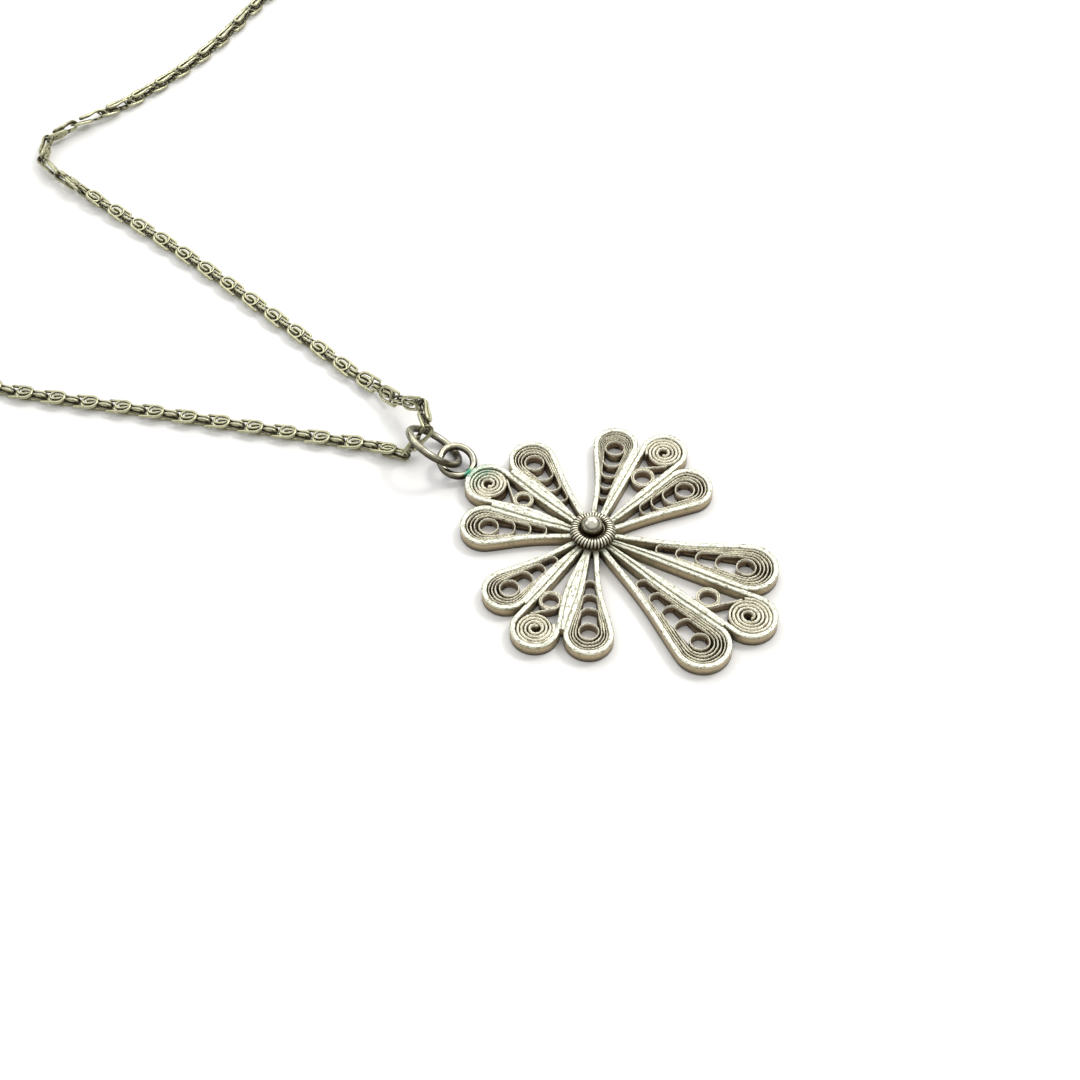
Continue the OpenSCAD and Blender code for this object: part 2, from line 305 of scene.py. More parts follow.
def finishPiece(thing, node):
    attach(thing, "root")
    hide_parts(node)
    print(thing.name, triangles(thing), "triangles")


# Materials

# bright where the metal is rubbed and open to the light, side on the sides of a strip, partly tarnish and
# partly painted shade, shade and deep the painted shade with tarnish in hollows and in the deepest of them;
# grain is the size of the specks, bump and depth are how strongly and how deep they stand; low to high is
# how open the metal has to be to turn bright, so that less open metal takes the painted shade; top is where
# a strip turns pale, painted light on its top; fleck, rim and rope are how dark the flecks, the painted
# shade lines along a strip's edges and the painted shade in the grooves of twisted wire are
metalLooks = {
    "frameSilver": {
        "bright": (0.84, 0.85, 0.72), "side": (0.48, 0.38, 0.23), "shade": (0.20, 0.19, 0.10),
        "deep": (0.035, 0.020, 0.008), "rough": 0.40, "metal": 0.55, "grain": 0.16, "bump": 0.8,
        "depth": 0.03, "low": 0.10, "high": 0.43, "top": (0.84, 0.96), "fleck": 0.85, "rim": 0.7},
    "filigreeSilver": {
        "bright": (0.95, 0.93, 0.76), "side": (0.27, 0.18, 0.085), "shade": (0.20, 0.135, 0.06),
        "deep": (0.022, 0.011, 0.004), "rough": 0.36, "metal": 0.45, "grain": 0.2, "bump": 0.6,
        "depth": 0.02, "low": 0.08, "high": 0.28, "top": (0.66, 0.88), "fleck": 0.7, "rope": 0.2},
    # near black bed under the wires: painted shade in the gaps between them
    "shadeBedSilver": {
        "bright": (0.06, 0.035, 0.014), "side": (0.22, 0.16, 0.08), "shade": (0.04, 0.022, 0.009),
        "deep": (0.018, 0.010, 0.004), "rough": 0.5, "metal": 0.4, "grain": 0.15, "bump": 0.5,
        "depth": 0.02, "low": 0.15, "high": 0.60, "top": (0.9, 1.0), "fleck": 0.4},
    "bossSilver": {
        "bright": (0.90, 0.88, 0.71), "shade": (0.24, 0.18, 0.09), "deep": (0.020, 0.012, 0.005),
        "rough": 0.26, "metal": 0.8, "grain": 0.2, "bump": 0.4, "depth": 0.015,
        "low": 0.42, "high": 0.86, "fleck": 0.3},
    # bead and rings turn bright only where quite open, so that their lower sides take painted shade
    "beadSilver": {
        "bright": (0.62, 0.60, 0.50), "shade": (0.13, 0.10, 0.055), "deep": (0.025, 0.016, 0.008),
        "rough": 0.18, "metal": 0.97, "grain": 0.5, "bump": 0.3, "depth": 0.015,
        "low": 0.42, "high": 1.0, "fleck": 0.25},
    "ringSilver": {
        "bright": (0.56, 0.54, 0.41), "shade": (0.085, 0.068, 0.036), "deep": (0.025, 0.017, 0.008),
        "rough": 0.20, "metal": 0.97, "grain": 0.5, "bump": 0.3, "depth": 0.015,
        "low": 0.54, "high": 1.0, "fleck": 0.25},
    "claspSilver": {
        "bright": (0.62, 0.60, 0.48), "shade": (0.22, 0.19, 0.11), "deep": (0.035, 0.024, 0.012),
        "rough": 0.24, "metal": 0.95, "grain": 0.5, "bump": 0.4, "depth": 0.02,
        "low": 0.10, "high": 0.62, "fleck": 0.35, "clouded": (0.30, 0.95)},
    "chainSilver": {
        "bright": (0.54, 0.53, 0.345), "shade": (0.145, 0.135, 0.068), "deep": (0.025, 0.018, 0.008),
        "rough": 0.28, "metal": 0.85, "grain": 0.3, "bump": 0.4, "depth": 0.012,
        "low": 0.30, "high": 0.80, "fleck": 0.3},
}
# what all the finishes share, tarnish and painted shade alike; a pair is where a smooth step starts and
# ends, and two more numbers are what it gives out there
tarnishAndShade = {
    "grainDetail": 3.0, "grainRough": 0.6, "cloudSize": 2.4, "cloudDetail": 4.0, "cloudOpen": (0.3, 0.55),
    "flecks": (0.36, 0.5, 1.0, 0.0), "shadeGrain": 0.25, "shadeCloud": 0.3,
    "deepGrain": 0.1, "deepLow": 0.3, "deepHigh": 2.2, "roughCloud": 0.3, "roughShade": 0.2,
    # strips: streaks along them, then painted shade lines by their edges and a painted shadow at the foot,
    # or painted shade in grooves
    "topGrain": 0.06, "streakLong": 0.5, "streakAcross": 4.0, "streakCloud": 9.0, "streakDetail": 3.0,
    "streakRough": 0.65, "streaks": (0.39, 0.47, 1.0, 0.0), "streakBump": 0.8, "stripFleck": 0.4,
    "sideFleck": 0.45, "edgeAcross": (0.34, 0.43), "edgeRise": (0.95, 0.99), "lineFrom": (0.74, 0.86),
    "lineTo": (0.88, 0.94, 1.0, 0.0), "lineCloud": (0.32, 0.52), "footShadow": (0.05, 0.62, 0.9, 0.0),
    "grooves": (-0.9, 0.1, 1.0, 0.0), "grooveCloud": (0.2, 0.6, 0.5, 1.0),
}
# green corrosion; core is the part of its radius with the full strength; base plus gain times strength is
# how thick it lies, less rubbed times how open the metal is, and broken up by grain; columns of spots: place
# from the middle of the cross, height, radius, strength from 0 to 1
verdigris = {
    "strong": (0.018, 0.18, 0.11), "pale": (0.07, 0.30, 0.20), "paleBelow": 0.6,
    "core": 0.25, "base": 0.95, "gain": 1.1, "rubbed": 1.3, "grain": 5.0,
    "spots": [
        (-12.98, 8.45, 0.9, 0.95, 1.0), (-12.9, 8.0, 1.2, 0.6, 0.9), (-11.3, 8.75, 1.1, 1.5, 0.6),
        (-12.2, 8.3, 1.1, 1.1, 0.6), (-10.1, 8.5, 1.1, 0.8, 0.4), (-12.3, 7.0, 1.1, 1.1, 0.35),
        (-1.45, 0.5, 2.0, 0.7, 0.5), (1.2, -2.3, 1.2, 0.7, 0.25)],
}


def perMetre(size):
    # how often a pattern of this size fits in a metre
    return 1000 / size


def opaque(colour):
    return (*colour, 1)


def greenOver(graph, place, openness, grain, metal):
    # corrosion round its spots, thicker where the metal is sheltered
    for x, y, z, radius, strength in verdigris["spots"]:
        centre = tuple((crossAt + Vector((x, y, z))) * mm)
        near = graph.vector("DISTANCE", place, centre).ramp(
            radius * verdigris["core"] * mm, radius * mm, 1.0, 0.0)
        thick = verdigris["base"] + strength * verdigris["gain"]
        thick = thick - openness * verdigris["rubbed"] + grain.swing(verdigris["grain"])
        share = near * thick * strength
        share.link.node.use_clamp = True
        green = verdigris["strong"] if strength > verdigris["paleBelow"] else verdigris["pale"]
        metal = graph.blend(share, metal, opaque(green))
    return metal


def stripMetal(graph, look, grain, cloud, fleck):
    # strips: pale tops, painted light, and browner sides, partly tarnish and partly painted shade, with
    # streaks along them, and what else the look names
    rise, across, along = (graph.attribute(name) for name in ("rise", "across", "along"))
    shade = opaque(look["shade"])
    top = (rise + grain.swing(tarnishAndShade["topGrain"])).ramp(*look["top"])
    metal = graph.blend(top, opaque(look["side"]), opaque(look["bright"]))
    drawn = graph.combined(along * perMetre(tarnishAndShade["streakLong"]), across * tarnishAndShade["streakAcross"],
                           cloud * tarnishAndShade["streakCloud"])
    streak = graph.node("ShaderNodeTexNoise", None, {
        "Vector": drawn, "Scale": 1.0, "Detail": tarnishAndShade["streakDetail"],
        "Roughness": tarnishAndShade["streakRough"]})
    fleck = fleck * tarnishAndShade["stripFleck"] + streak.ramp(*tarnishAndShade["streaks"])
    fleck = fleck * (tarnishAndShade["sideFleck"] + (1 - tarnishAndShade["sideFleck"]) * top)
    if "rim" in look:
        # painted shade: dark lines along a strip's top edges and just under them
        edge = across.absolute().ramp(*tarnishAndShade["edgeAcross"]) * rise.ramp(*tarnishAndShade["edgeRise"])
        line = rise.ramp(*tarnishAndShade["lineFrom"]) * rise.ramp(*tarnishAndShade["lineTo"])
        line = (line + edge) * look["rim"] * cloud.ramp(*tarnishAndShade["lineCloud"])
        metal = graph.blend(line, metal, shade)
        # painted shadow: the foot of each wall darker
        metal = graph.blend(rise.ramp(*tarnishAndShade["footShadow"]), metal, opaque(look["deep"]))
    if "rope" in look:
        # painted shade in the grooves of twisted wire
        phase = along * (math.tau * 1000 / rope["turn"]) + across * rope["lean"]
        groove = phase.sine().ramp(*tarnishAndShade["grooves"]) * look["rope"] * cloud.ramp(*tarnishAndShade["grooveCloud"])
        metal = graph.blend(groove, metal, shade)
    return metal, fleck, grain + streak * tarnishAndShade["streakBump"]


def metalMaterial(name):
    # needs the mesh's own "open", or clouds in its place where the look has a "clouded" range
    look = metalLooks[name]
    material = bpy.data.materials.new(name)
    material.use_nodes = True
    material.node_tree.nodes.clear()
    graph = Graph(material.node_tree)
    place = graph.node("ShaderNodeTexCoord", out="Object")
    grain = graph.node("ShaderNodeTexNoise", None, {
        "Vector": place, "Scale": perMetre(look["grain"]), "Detail": tarnishAndShade["grainDetail"],
        "Roughness": tarnishAndShade["grainRough"]})
    cloud = graph.node("ShaderNodeTexNoise", None, {
        "Vector": place, "Scale": perMetre(tarnishAndShade["cloudSize"]), "Detail": tarnishAndShade["cloudDetail"]})
    if "clouded" in look:
        openness = cloud.ramp(*tarnishAndShade["cloudOpen"], *look["clouded"])
    else:
        openness = graph.attribute("open")
    shade = opaque(look["shade"])
    metal, height, fleck = opaque(look["bright"]), grain, grain.ramp(*tarnishAndShade["flecks"])
    if "top" in look:
        metal, fleck, height = stripMetal(graph, look, grain, cloud, fleck)
    metal = graph.blend(fleck * look["fleck"], metal, shade)
    # painted shade: darker where the metal is less open, in hollows and on faces turned down or sideways,
    # with tarnish in the hollows
    paintedShadeAndWear = openness + grain.swing(tarnishAndShade["shadeGrain"]) + cloud.swing(tarnishAndShade["shadeCloud"])
    paintedShadeAndWear = paintedShadeAndWear.ramp(look["low"], look["high"])
    metal = graph.blend(paintedShadeAndWear, shade, metal)
    # painted shade with tarnish in the deepest hollows
    hollow = openness + grain.swing(tarnishAndShade["deepGrain"])
    hollow = hollow.ramp(look["low"] * tarnishAndShade["deepLow"], look["low"] * tarnishAndShade["deepHigh"])
    metal = graph.blend(hollow, opaque(look["deep"]), metal)
    metal = greenOver(graph, place, openness, grain, metal)
    rough = look["rough"] + cloud.swing(tarnishAndShade["roughCloud"]) + (1 - paintedShadeAndWear) * tarnishAndShade["roughShade"]
    normal = graph.node("ShaderNodeBump", None, {
        "Strength": look["bump"], "Distance": look["depth"] * mm, "Height": height})
    shader = graph.node("ShaderNodeBsdfPrincipled", None, {
        "Base Color": metal, "Metallic": look["metal"], "Roughness": rough, "Normal": normal})
    graph.node("ShaderNodeOutputMaterial", None, {"Surface": shader})
    return material


# How open each vertex is to the sky and the sides, so that painted shade can darken hollows

# goldenTurn is the angle in radians from ray to ray that spreads them evenly; lift, in metres, starts a ray
# clear of its own face; grazing rays aren't counted; ringShadeDown is how much less open the faces of the
# rings, boss and bead are as they turn down, and linkShadeSide how much less open a link's sides are:
# painted shade
hollows = {"reach": 1.6, "rays": 28, "ringShadeDown": 0.85, "linkReach": 1.2, "linkRays": 40, "linkShadeSide": 0.45,
           "goldenTurn": 2.39996, "lift": 0.00002, "grazing": 0.1}


def shadeOpen(things, extra=(), paintedShadeAndWear=0.0, reach=hollows["reach"], rays=hollows["rays"], bothFaces=False):
    # stores "open" at each vertex: the share of rays that meet neither metal nor floor within reach, less
    # where it faces down, for painted shade; a link lies either way up, so the floor isn't met and its sides
    # are the ones that get the painted shade
    points, faces = [], []
    for thing in (*things, *extra):
        first = len(points)
        points += [v.co.copy() for v in thing.data.vertices]
        faces += [[first + i for i in p.vertices] for p in thing.data.polygons]
    solid = BVHTree.FromPolygons(points, faces)
    floorZ = -1.0 if bothFaces else 0.0
    far = reach * mm
    ways = []
    for i in range(rays):
        z = 1 - 2 * (i + 0.5) / rays
        turn = i * hollows["goldenTurn"]
        flat = math.sqrt(1 - z * z)
        ways.append(Vector((flat * math.cos(turn), flat * math.sin(turn), z)))
    for thing in things:
        opens = []
        for vertex in thing.data.vertices:
            normal = vertex.normal
            start = vertex.co + normal * hollows["lift"]
            free = total = 0.0
            for way in ways:
                facing = way.dot(normal)
                if facing > hollows["grazing"]:
                    total += facing
                    if start.z + way.z * far > floorZ and solid.ray_cast(start, way, far)[0] is None:
                        free += facing
            turned = 1 - abs(normal.z) if bothFaces else 0.5 - 0.5 * normal.z
            opens.append((free / total if total else 0) * (1 - paintedShadeAndWear * turned))
        thing.data.attributes.new("open", "FLOAT", "POINT").data.foreach_set("value", opens)


# Cross: petals of strip and filigree wire

cross = {
    # columns: angle, reach, radius of the round end, openings between the arcs of a coiled petal or 0 for a
    # disc, place of the first arc or the small ring, bows of the left and right side
    "petals": [
        (77.8, 12.5, 2.36, 4, 5, 0.3, 0.1), (55.3, 13.6, 2.48, 0, 9.5, 0.05, 0.15),
        (32.1, 11.9, 2.58, 3, 6, 0.1, 0.15), (-14.9, 16.5, 2.93, 4, 6.7, 0.35, 0.3),
        (-33.5, 18.8, 2.73, 0, 14, 0.05, 0.15), (-52.2, 17.4, 2.97, 4, 7.5, 0.25, 0.3),
        (-92.7, 12.6, 2.53, 3, 5.9, 0.4, 0.3), (-116.7, 13.2, 2.52, 0, 9.4, 0.5, 0.1),
        (-141.4, 11.3, 2.5, 3, 4.8, 0.3, 0.25), (173.4, 11.2, 2.57, 3, 4.8, 0.25, 0.15),
        (147.3, 12.8, 2.57, 0, 8.6, 0.55, 0.15), (121.5, 11.9, 2.51, 3, 5.5, 0.35, 0.2)],
    # strip round a petal: where it starts, its half width there, how far a line moves in there for each
    # millimetre of inset, and how wide the sides end against the round end; dents are size, depth and seed
    "rootX": 1.8, "rootHalf": 0.58, "rootInset": 0.945, "sideShare": 0.995,
    "stripWide": 0.55, "stripTall": 1.4, "topStep": 0.012, "sideStep": 0.24, "endStep": 0.2,
    "stripDents": (0.5, 0.06, 3.0),
    # solder between the petals of one arm
    "armMost": 30, "seamOver": 0.16, "seamLeast": 0.05, "seamDrop": 0.03, "seamFoot": 0.2, "seamPast": 0.2,
    # wire, and how unevenly it is laid: each series sums waves of random rates, in radians a millimetre
    "wireWide": 0.17, "wireTall": 1.2, "wireFoot": 0.1, "wireDents": (0.8, 0.1, 7.0), "step": 0.075,
    "uneven": 0.2, "waves": 4, "waveRates": (0.7, 3.5),
    # coiled petals: share of the pitch that a wire fills along the sides and at the end; depth of the arcs
    # across as a share of the half width, which is read arcProbe past them; how heights differ from loop to
    # loop; the hole and the row of openings
    "packSide": 1.02, "packEnd": 0.62, "pitchLeast": 0.08, "arcWide": 0.16, "arcDepth": (0.55, 0.9),
    "arcProbe": 0.4, "loopDrop": 0.04, "loopLevel": (-0.02, 0.02), "holeR": 0.9, "holeBack": 0.4,
    "slotHalf": 0.2,
    # near black bed under the wires: painted shade in their gaps
    "bedTall": 0.55, "bedFoot": 0.12, "bedStep": 0.3, "bedEndStep": 0.4, "bedStart": 0.5, "bedOver": 0.05,
    "bedLeast": 0.06, "bedDents": (1.0, 0.0, 1.0),
    # disc petals: past longReach the disc is longer than wide, and the wire that leads to it is on the other
    # side; the spiral has so many steps a turn, and widens faster at first
    "longReach": 15, "discLong": 1.09, "discOver": 0.03, "discWire": 0.30, "discHole": 0.26, "discBed": 0.1,
    "spiralPitch": 0.40, "spiralSteps": 70, "spiralEase": 0.9, "spiralEnd": 130,
    "smallRingR": 1.28, "smallRingWire": 0.2, "smallRingOver": 0.09, "smallRingDrop": 0.05,
    "tailMost": 1.75, "tailDrop": 0.02,
}
chance = random.Random(5)  # the same wires in each run


def bowShare(t):
    # 0 at both ends of a side and 1 in its middle
    return 16 * (t * (1 - t)) ** 2


def wobble(count, step, spread):
    # smooth random series round 0, for wire laid by hand
    waves = []
    for _ in range(cross["waves"]):
        rate = chance.uniform(*cross["waveRates"])
        waves.append((rate, chance.uniform(0, math.tau)))
    sums = [sum(math.sin(i * step * rate + turn) for rate, turn in waves) for i in range(count)]
    return [spread * total / math.sqrt(cross["waves"]) for total in sums]


def arcPath(centre, radius, start, end, step, least=8):
    # points on a circle round (centre, 0) from angle start to end
    count = max(least, math.ceil(abs(math.radians(end - start)) * radius / step))
    angles = [math.radians(start + (end - start) * i / count) for i in range(count + 1)]
    return [(centre + radius * math.cos(a), radius * math.sin(a)) for a in angles]


def circlePath(centre, radius, step):
    return arcPath(centre, radius, 180, -180, step)[:-1]


def linePath(start, end, step, least=2):
    count = max(least, math.ceil(math.dist(start, end) / step))
    line = [(start[0] + (end[0] - start[0]) * i / count, start[1] + (end[1] - start[1]) * i / count)
            for i in range(count)]
    return line + [tuple(end)]


class Petal:
    # One petal in its own frame: x along the petal from the middle of the cross, y across; side is 1 or -1
    def __init__(self, row):
        self.angle, self.reach, self.radius, self.openings, self.fillX, left, right = row
        self.bows = {1: left, -1: right}
        self.lean = math.asin((self.radius - cross["rootHalf"]) / (self.reach - cross["rootX"]))
        self.turn = 90 + math.degrees(self.lean)
        self.innerR = self.radius - cross["stripWide"]
        # coiled petals
        self.loops = self.openings + 1
        self.holeX = self.reach - cross["holeBack"]
        self.lastX = self.holeX - cross["holeR"] - cross["wireWide"]
        # disc petals
        long = self.reach > cross["longReach"]
        self.discLong = cross["discLong"] if long else 1
        self.discX = self.reach - self.innerR * (self.discLong - 1)
        self.tailSide = -1 if long else 1

    def touch(self, radius):
        # where the sides of a line inside the petal meet its round end
        return self.reach - radius * math.sin(self.lean), radius * math.cos(self.lean) * cross["sideShare"]

    def half(self, x, inset, side):
        # half width of a line that runs inset from the petal's outline
        endX, endY = self.touch(self.radius - inset)
        root = cross["rootHalf"] - cross["rootInset"] * inset
        t = (x - cross["rootX"]) / (endX - cross["rootX"])
        return root + (endY - root) * t - self.bows[side] * bowShare(min(t, 1))

    def channel(self, x):
        # half width of the row of openings at x
        share = (x - cross["rootX"]) / (self.holeX - cross["rootX"])
        return cross["slotHalf"] + (cross["holeR"] - cross["slotHalf"]) * share

    def sidePitch(self, x, side):
        # from loop to loop at x, shared by as many loops as have begun there
        begun = min(1, max(0, (x - self.fillX) / (self.lastX - self.fillX)))
        room = max(cross["pitchLeast"], self.half(x, cross["stripWide"], side) - self.channel(x))
        return room / (1 + (self.loops - 1) * begun)

    def loopHalf(self, x, side, k):
        # half width of loop k at x
        return self.half(x, cross["stripWide"], side) - (k + 0.5) * self.sidePitch(x, side)

    def place(self, path):
        # turned to the petal's angle and moved to the cross
        turn = math.radians(self.angle)
        c, s = math.cos(turn), math.sin(turn)
        return [(crossAt.x + x * c - y * s, crossAt.y + x * s + y * c, 0.0) for x, y in path]


def petalFrame(petal, rails, number):
    # the strip round a petal; heights differ a little, so that no two tops lie in one plane
    inset = cross["stripWide"] / 2
    radius = petal.radius - inset
    endX = petal.touch(radius)[0]
    count = math.ceil((endX - cross["rootX"]) / cross["sideStep"])
    xs = [cross["rootX"] + (endX - cross["rootX"]) * i / count for i in range(count)]
    path = [(x, petal.half(x, inset, 1)) for x in xs]
    path += arcPath(petal.reach, radius, petal.turn, -petal.turn, cross["endStep"])
    path += [(x, -petal.half(x, inset, -1)) for x in reversed(xs)]
    tall = cross["stripTall"] - cross["topStep"] * (number % 3)
    rails.add(petal.place(path), wide=cross["stripWide"], tall=tall, foot=0.0)


def solderSeam(first, second, rails):
    # fills the wedge between two petals of one arm, from the boss to where their round ends part
    end = min(petal.touch(petal.radius)[0] for petal in (first, second)) + cross["seamPast"]
    count = math.ceil(end / cross["bedStep"])
    middle, aside = (Vector(point) for point in first.place([(0, 0), (0, 1)]))
    path, wide = [], []
    for i in range(count + 1):
        x = cross["rootX"] + (end - cross["rootX"]) * i / count
        left = Vector(first.place([(x, -first.half(x, 0, -1))])[0])
        right = Vector(second.place([(x, second.half(x, 0, 1))])[0])
        path.append((left + right) / 2)
        wide.append(max(cross["seamLeast"], (left - right).dot(aside - middle) + cross["seamOver"]))
    rails.add(path, wide=wide, tall=cross["stripTall"] - cross["seamDrop"], foot=cross["seamFoot"])


def loopSide(petal, side, k, apex, endX, endY):
    # one side of loop k from the arc across the petal to the round end, and its widths
    probe = petal.loopHalf(apex + cross["arcProbe"], side, k)
    startX = apex + probe * chance.uniform(*cross["arcDepth"])
    length = endX - startX
    steps = math.ceil(length / cross["step"])
    gap = endY - petal.loopHalf(endX, side, k)
    path, wide = [], []
    for i in range(steps):
        x = startX + length * i / steps
        pack = cross["packSide"] + (cross["packEnd"] - cross["packSide"]) * ((x - startX) / length) ** 2
        path.append((x, side * (petal.loopHalf(x, side, k) + gap * (x - startX) / length)))
        wide.append(min(cross["wireWide"], petal.sidePitch(x, side) * pack))
    return path, wide


def loopArc(apex, start, side):
    # half of the arc across the petal, up to where the side starts; its middle point goes with side -1
    startX, startY = start
    steps = math.ceil((abs(startY) + startX - apex) / cross["step"])
    angles = [math.pi / 2 * i / steps for i in range(1 if side == 1 else 0, steps)]
    return [(apex + (startX - apex) * (1 - math.cos(a)), startY * math.sin(a)) for a in angles]


def coiledLoop(petal, k):
    # loop k and its widths, from the middle of its arc round the petal and back
    pitch = (petal.innerR - cross["holeR"]) / petal.loops
    shift = cross["holeBack"] / petal.loops
    apex = petal.fillX + (petal.lastX - petal.fillX) * k / (petal.loops - 1)
    radius = petal.innerR - (k + 0.5) * pitch
    centre = petal.reach - (k + 0.5) * shift
    endX, endY = centre - radius * math.sin(petal.lean), radius * math.cos(petal.lean)
    left, leftWide = loopSide(petal, 1, k, apex, endX, endY)
    right, rightWide = loopSide(petal, -1, k, apex, endX, endY)
    firstArc, lastArc = loopArc(apex, left[0], 1), loopArc(apex, right[0], -1)
    end = arcPath(centre, radius, petal.turn, -petal.turn, cross["step"])
    endWide = min(cross["wireWide"], pitch * cross["packEnd"])
    path = firstArc + left + end + right[::-1] + lastArc[::-1]
    wide = [cross["arcWide"]] * len(firstArc) + leftWide + [endWide] * len(end)
    wide += rightWide[::-1] + [cross["arcWide"]] * len(lastArc)
    return path, wide


def coiledWires(petal, rails, shadeBeds):
    # nested loops, each inside the last, and an even ring round the hole
    for k in range(petal.loops):
        ring = k == petal.loops - 1
        if ring:
            path = circlePath(petal.holeX, cross["holeR"] + cross["wireWide"] / 2, cross["step"])
            wide = [cross["wireWide"]] * len(path)
        else:
            path, wide = coiledLoop(petal, k)
        tall = cross["wireTall"] - cross["loopDrop"] * (k % 2) + chance.uniform(*cross["loopLevel"])
        uneven = wobble(len(path), cross["step"], 0 if ring else cross["uneven"])
        wide = [w * (1 + u) for w, u in zip(wide, uneven)]
        rails.add(petal.place(path), closed=True, wide=wide, tall=tall, foot=cross["wireFoot"])
    coiledShadeBed(petal, shadeBeds)


def coiledShadeBed(petal, shadeBeds):
    # near black bed under the wires, painted shade in their gaps, from the frame to the row of openings and
    # the hole
    start = petal.fillX + cross["bedStart"]
    length = petal.touch(petal.innerR)[0] - petal.fillX - cross["bedStart"]
    steps = math.ceil(length / cross["bedStep"])
    xs = [start + length * i / steps for i in range(steps)]
    sides = {}
    for side in (1, -1):
        sides[side] = []
        for x in xs:
            outer = petal.half(x, cross["stripWide"], side) + cross["bedOver"]
            inner = petal.channel(x)
            sides[side].append((x, side * (outer + inner) / 2, max(cross["bedLeast"], outer - inner)))
    middle = (petal.innerR + cross["holeR"]) / 2
    end = []
    for x, y in arcPath(petal.reach, middle, petal.turn, -petal.turn, cross["bedEndStep"]):
        back = cross["holeBack"] * max(0.0, (x - petal.reach) / middle)
        end.append((x - back / 2, y, petal.innerR + cross["bedOver"] - cross["holeR"] + back))
    rows = sides[1] + end + sides[-1][::-1]
    shadeBeds.add(petal.place([row[:2] for row in rows]), wide=[row[2] for row in rows], tall=cross["bedTall"],
             foot=cross["bedFoot"])


def discWires(petal, rails, shadeBeds):
    # a spiral from the hole in the middle of the disc to the frame
    discR = petal.innerR + cross["discOver"]
    inner, outer = cross["discHole"] + cross["wireWide"] / 2, discR - cross["wireWide"] / 2
    turns = (outer - inner) / cross["spiralPitch"]
    count = math.ceil(turns * cross["spiralSteps"])
    path = []
    for i in range(count + 1):
        radius = inner + (outer - inner) * (i / count) ** cross["spiralEase"]
        turn = math.radians(cross["spiralEnd"]) - math.tau * turns * (1 - i / count)
        path.append((petal.discX + radius * petal.discLong * math.cos(turn), radius * math.sin(turn)))
    uneven = wobble(len(path), cross["step"], cross["uneven"])
    rails.add(petal.place(path), wide=[cross["discWire"] * (1 + u) for u in uneven], tall=cross["wireTall"],
              foot=cross["wireFoot"])
    # near black bed under the spiral: painted shade in its gaps
    bed = circlePath(petal.discX, (discR + cross["discHole"]) / 2, cross["bedEndStep"])
    shadeBeds.add(petal.place(bed), closed=True, wide=discR - cross["discHole"] - cross["discBed"],
             tall=cross["bedTall"], foot=cross["bedFoot"])
    smallRing(petal, rails, discR)


def smallRing(petal, rails, discR):
    # two turns of wire against the right side, and the wire that leads from them to the disc
    wire, over = cross["smallRingWire"], cross["smallRingOver"]
    left, right = (petal.half(petal.fillX, cross["stripWide"], side) + over for side in (1, -1))
    ringR = min((left + right) / 2, cross["smallRingR"])
    ringY = ringR - right
    for inset in (wire / 2, wire * 1.5):
        ring = [(x, y + ringY) for x, y in circlePath(petal.fillX, ringR - inset, cross["step"])]
        rails.add(petal.place(ring), closed=True, wide=wire, tall=cross["wireTall"] - cross["smallRingDrop"],
                  foot=cross["wireFoot"])
    first, second = Vector((petal.fillX, ringY)), Vector((petal.discX, 0))
    across = second - first
    firstR, secondR = ringR - wire / 2, discR - cross["wireWide"] / 2
    if across.length - ringR - discR < cross["tailMost"]:
        turn = math.atan2(across.y, across.x)
        turn += petal.tailSide * math.acos((firstR + secondR) / across.length)
        way = Vector((math.cos(turn), math.sin(turn)))
        tail = linePath(first + way * firstR, second - way * secondR, cross["step"])
        rails.add(petal.place(tail), wide=wire, tall=cross["wireTall"] - cross["tailDrop"],
                  foot=cross["wireFoot"])


stripTree = buildStripTree()
tubeTree = buildTubeTree()
stripSection = sectionObject("stripSection", [
    (-0.44, 0.0), (-0.5, 0.03), (-0.5, 0.5), (-0.5, 0.93), (-0.45, 0.98), (-0.25, 0.995), (0, 1.0),
    (0.25, 0.995), (0.45, 0.98), (0.5, 0.93), (0.5, 0.5), (0.5, 0.03), (0.44, 0.0)])
wireSection = sectionObject("wireSection", [
    (-0.5, 0.0), (-0.5, 0.82), (-0.4, 0.93), (-0.2, 0.985), (0, 1.0), (0.2, 0.985), (0.4, 0.93), (0.5, 0.82),
    (0.5, 0.0)])
bedSection = sectionObject("bedSection", [
    (-0.5, 0.0), (-0.5, 1.0), (0, 1.0), (0.5, 1.0), (0.5, 0.0), (0, 0.0)])
straight = {"Twist": 1.0 * mm, "Twist Depth": 0.0}
twisted = {"Twist": rope["turn"] * mm, "Twist Depth": rope["depth"] * mm}

materials = {name: metalMaterial(name) for name in metalLooks}

frameRails, wireRails, shadeBedRails = (Rails("wide", "tall", "foot") for _ in range(3))
petals = [Petal(row) for row in cross["petals"]]
for number, petal in enumerate(petals):
    petalFrame(petal, frameRails, number)
    fill = coiledWires if petal.openings else discWires
    fill(petal, wireRails, shadeBedRails)
    after = petals[(number + 1) % len(petals)]
    if (petal.angle - after.angle) % 360 < cross["armMost"]:
        solderSeam(petal, after, frameRails)

crossFrames = grow("crossFrames", frameRails.mesh("crossFrames"), stripTree, {
    "Section": stripSection, "Material": materials["frameSilver"], **straight,
    **dents(*cross["stripDents"])})
crossWires = grow("crossWires", wireRails.mesh("crossWires"), stripTree, {
    "Section": wireSection, "Material": materials["filigreeSilver"], **twisted,
    **dents(*cross["wireDents"])})
# the near black beds: painted shade under the wires
crossBeds = grow("crossBeds", shadeBedRails.mesh("crossBeds"), stripTree, {
    "Section": bedSection, "Material": materials["shadeBedSilver"], **straight, **dents(*cross["bedDents"])})
print("petals made")


# Boss: wire wound round a ring, a plain collar inside it, and a bead in its middle

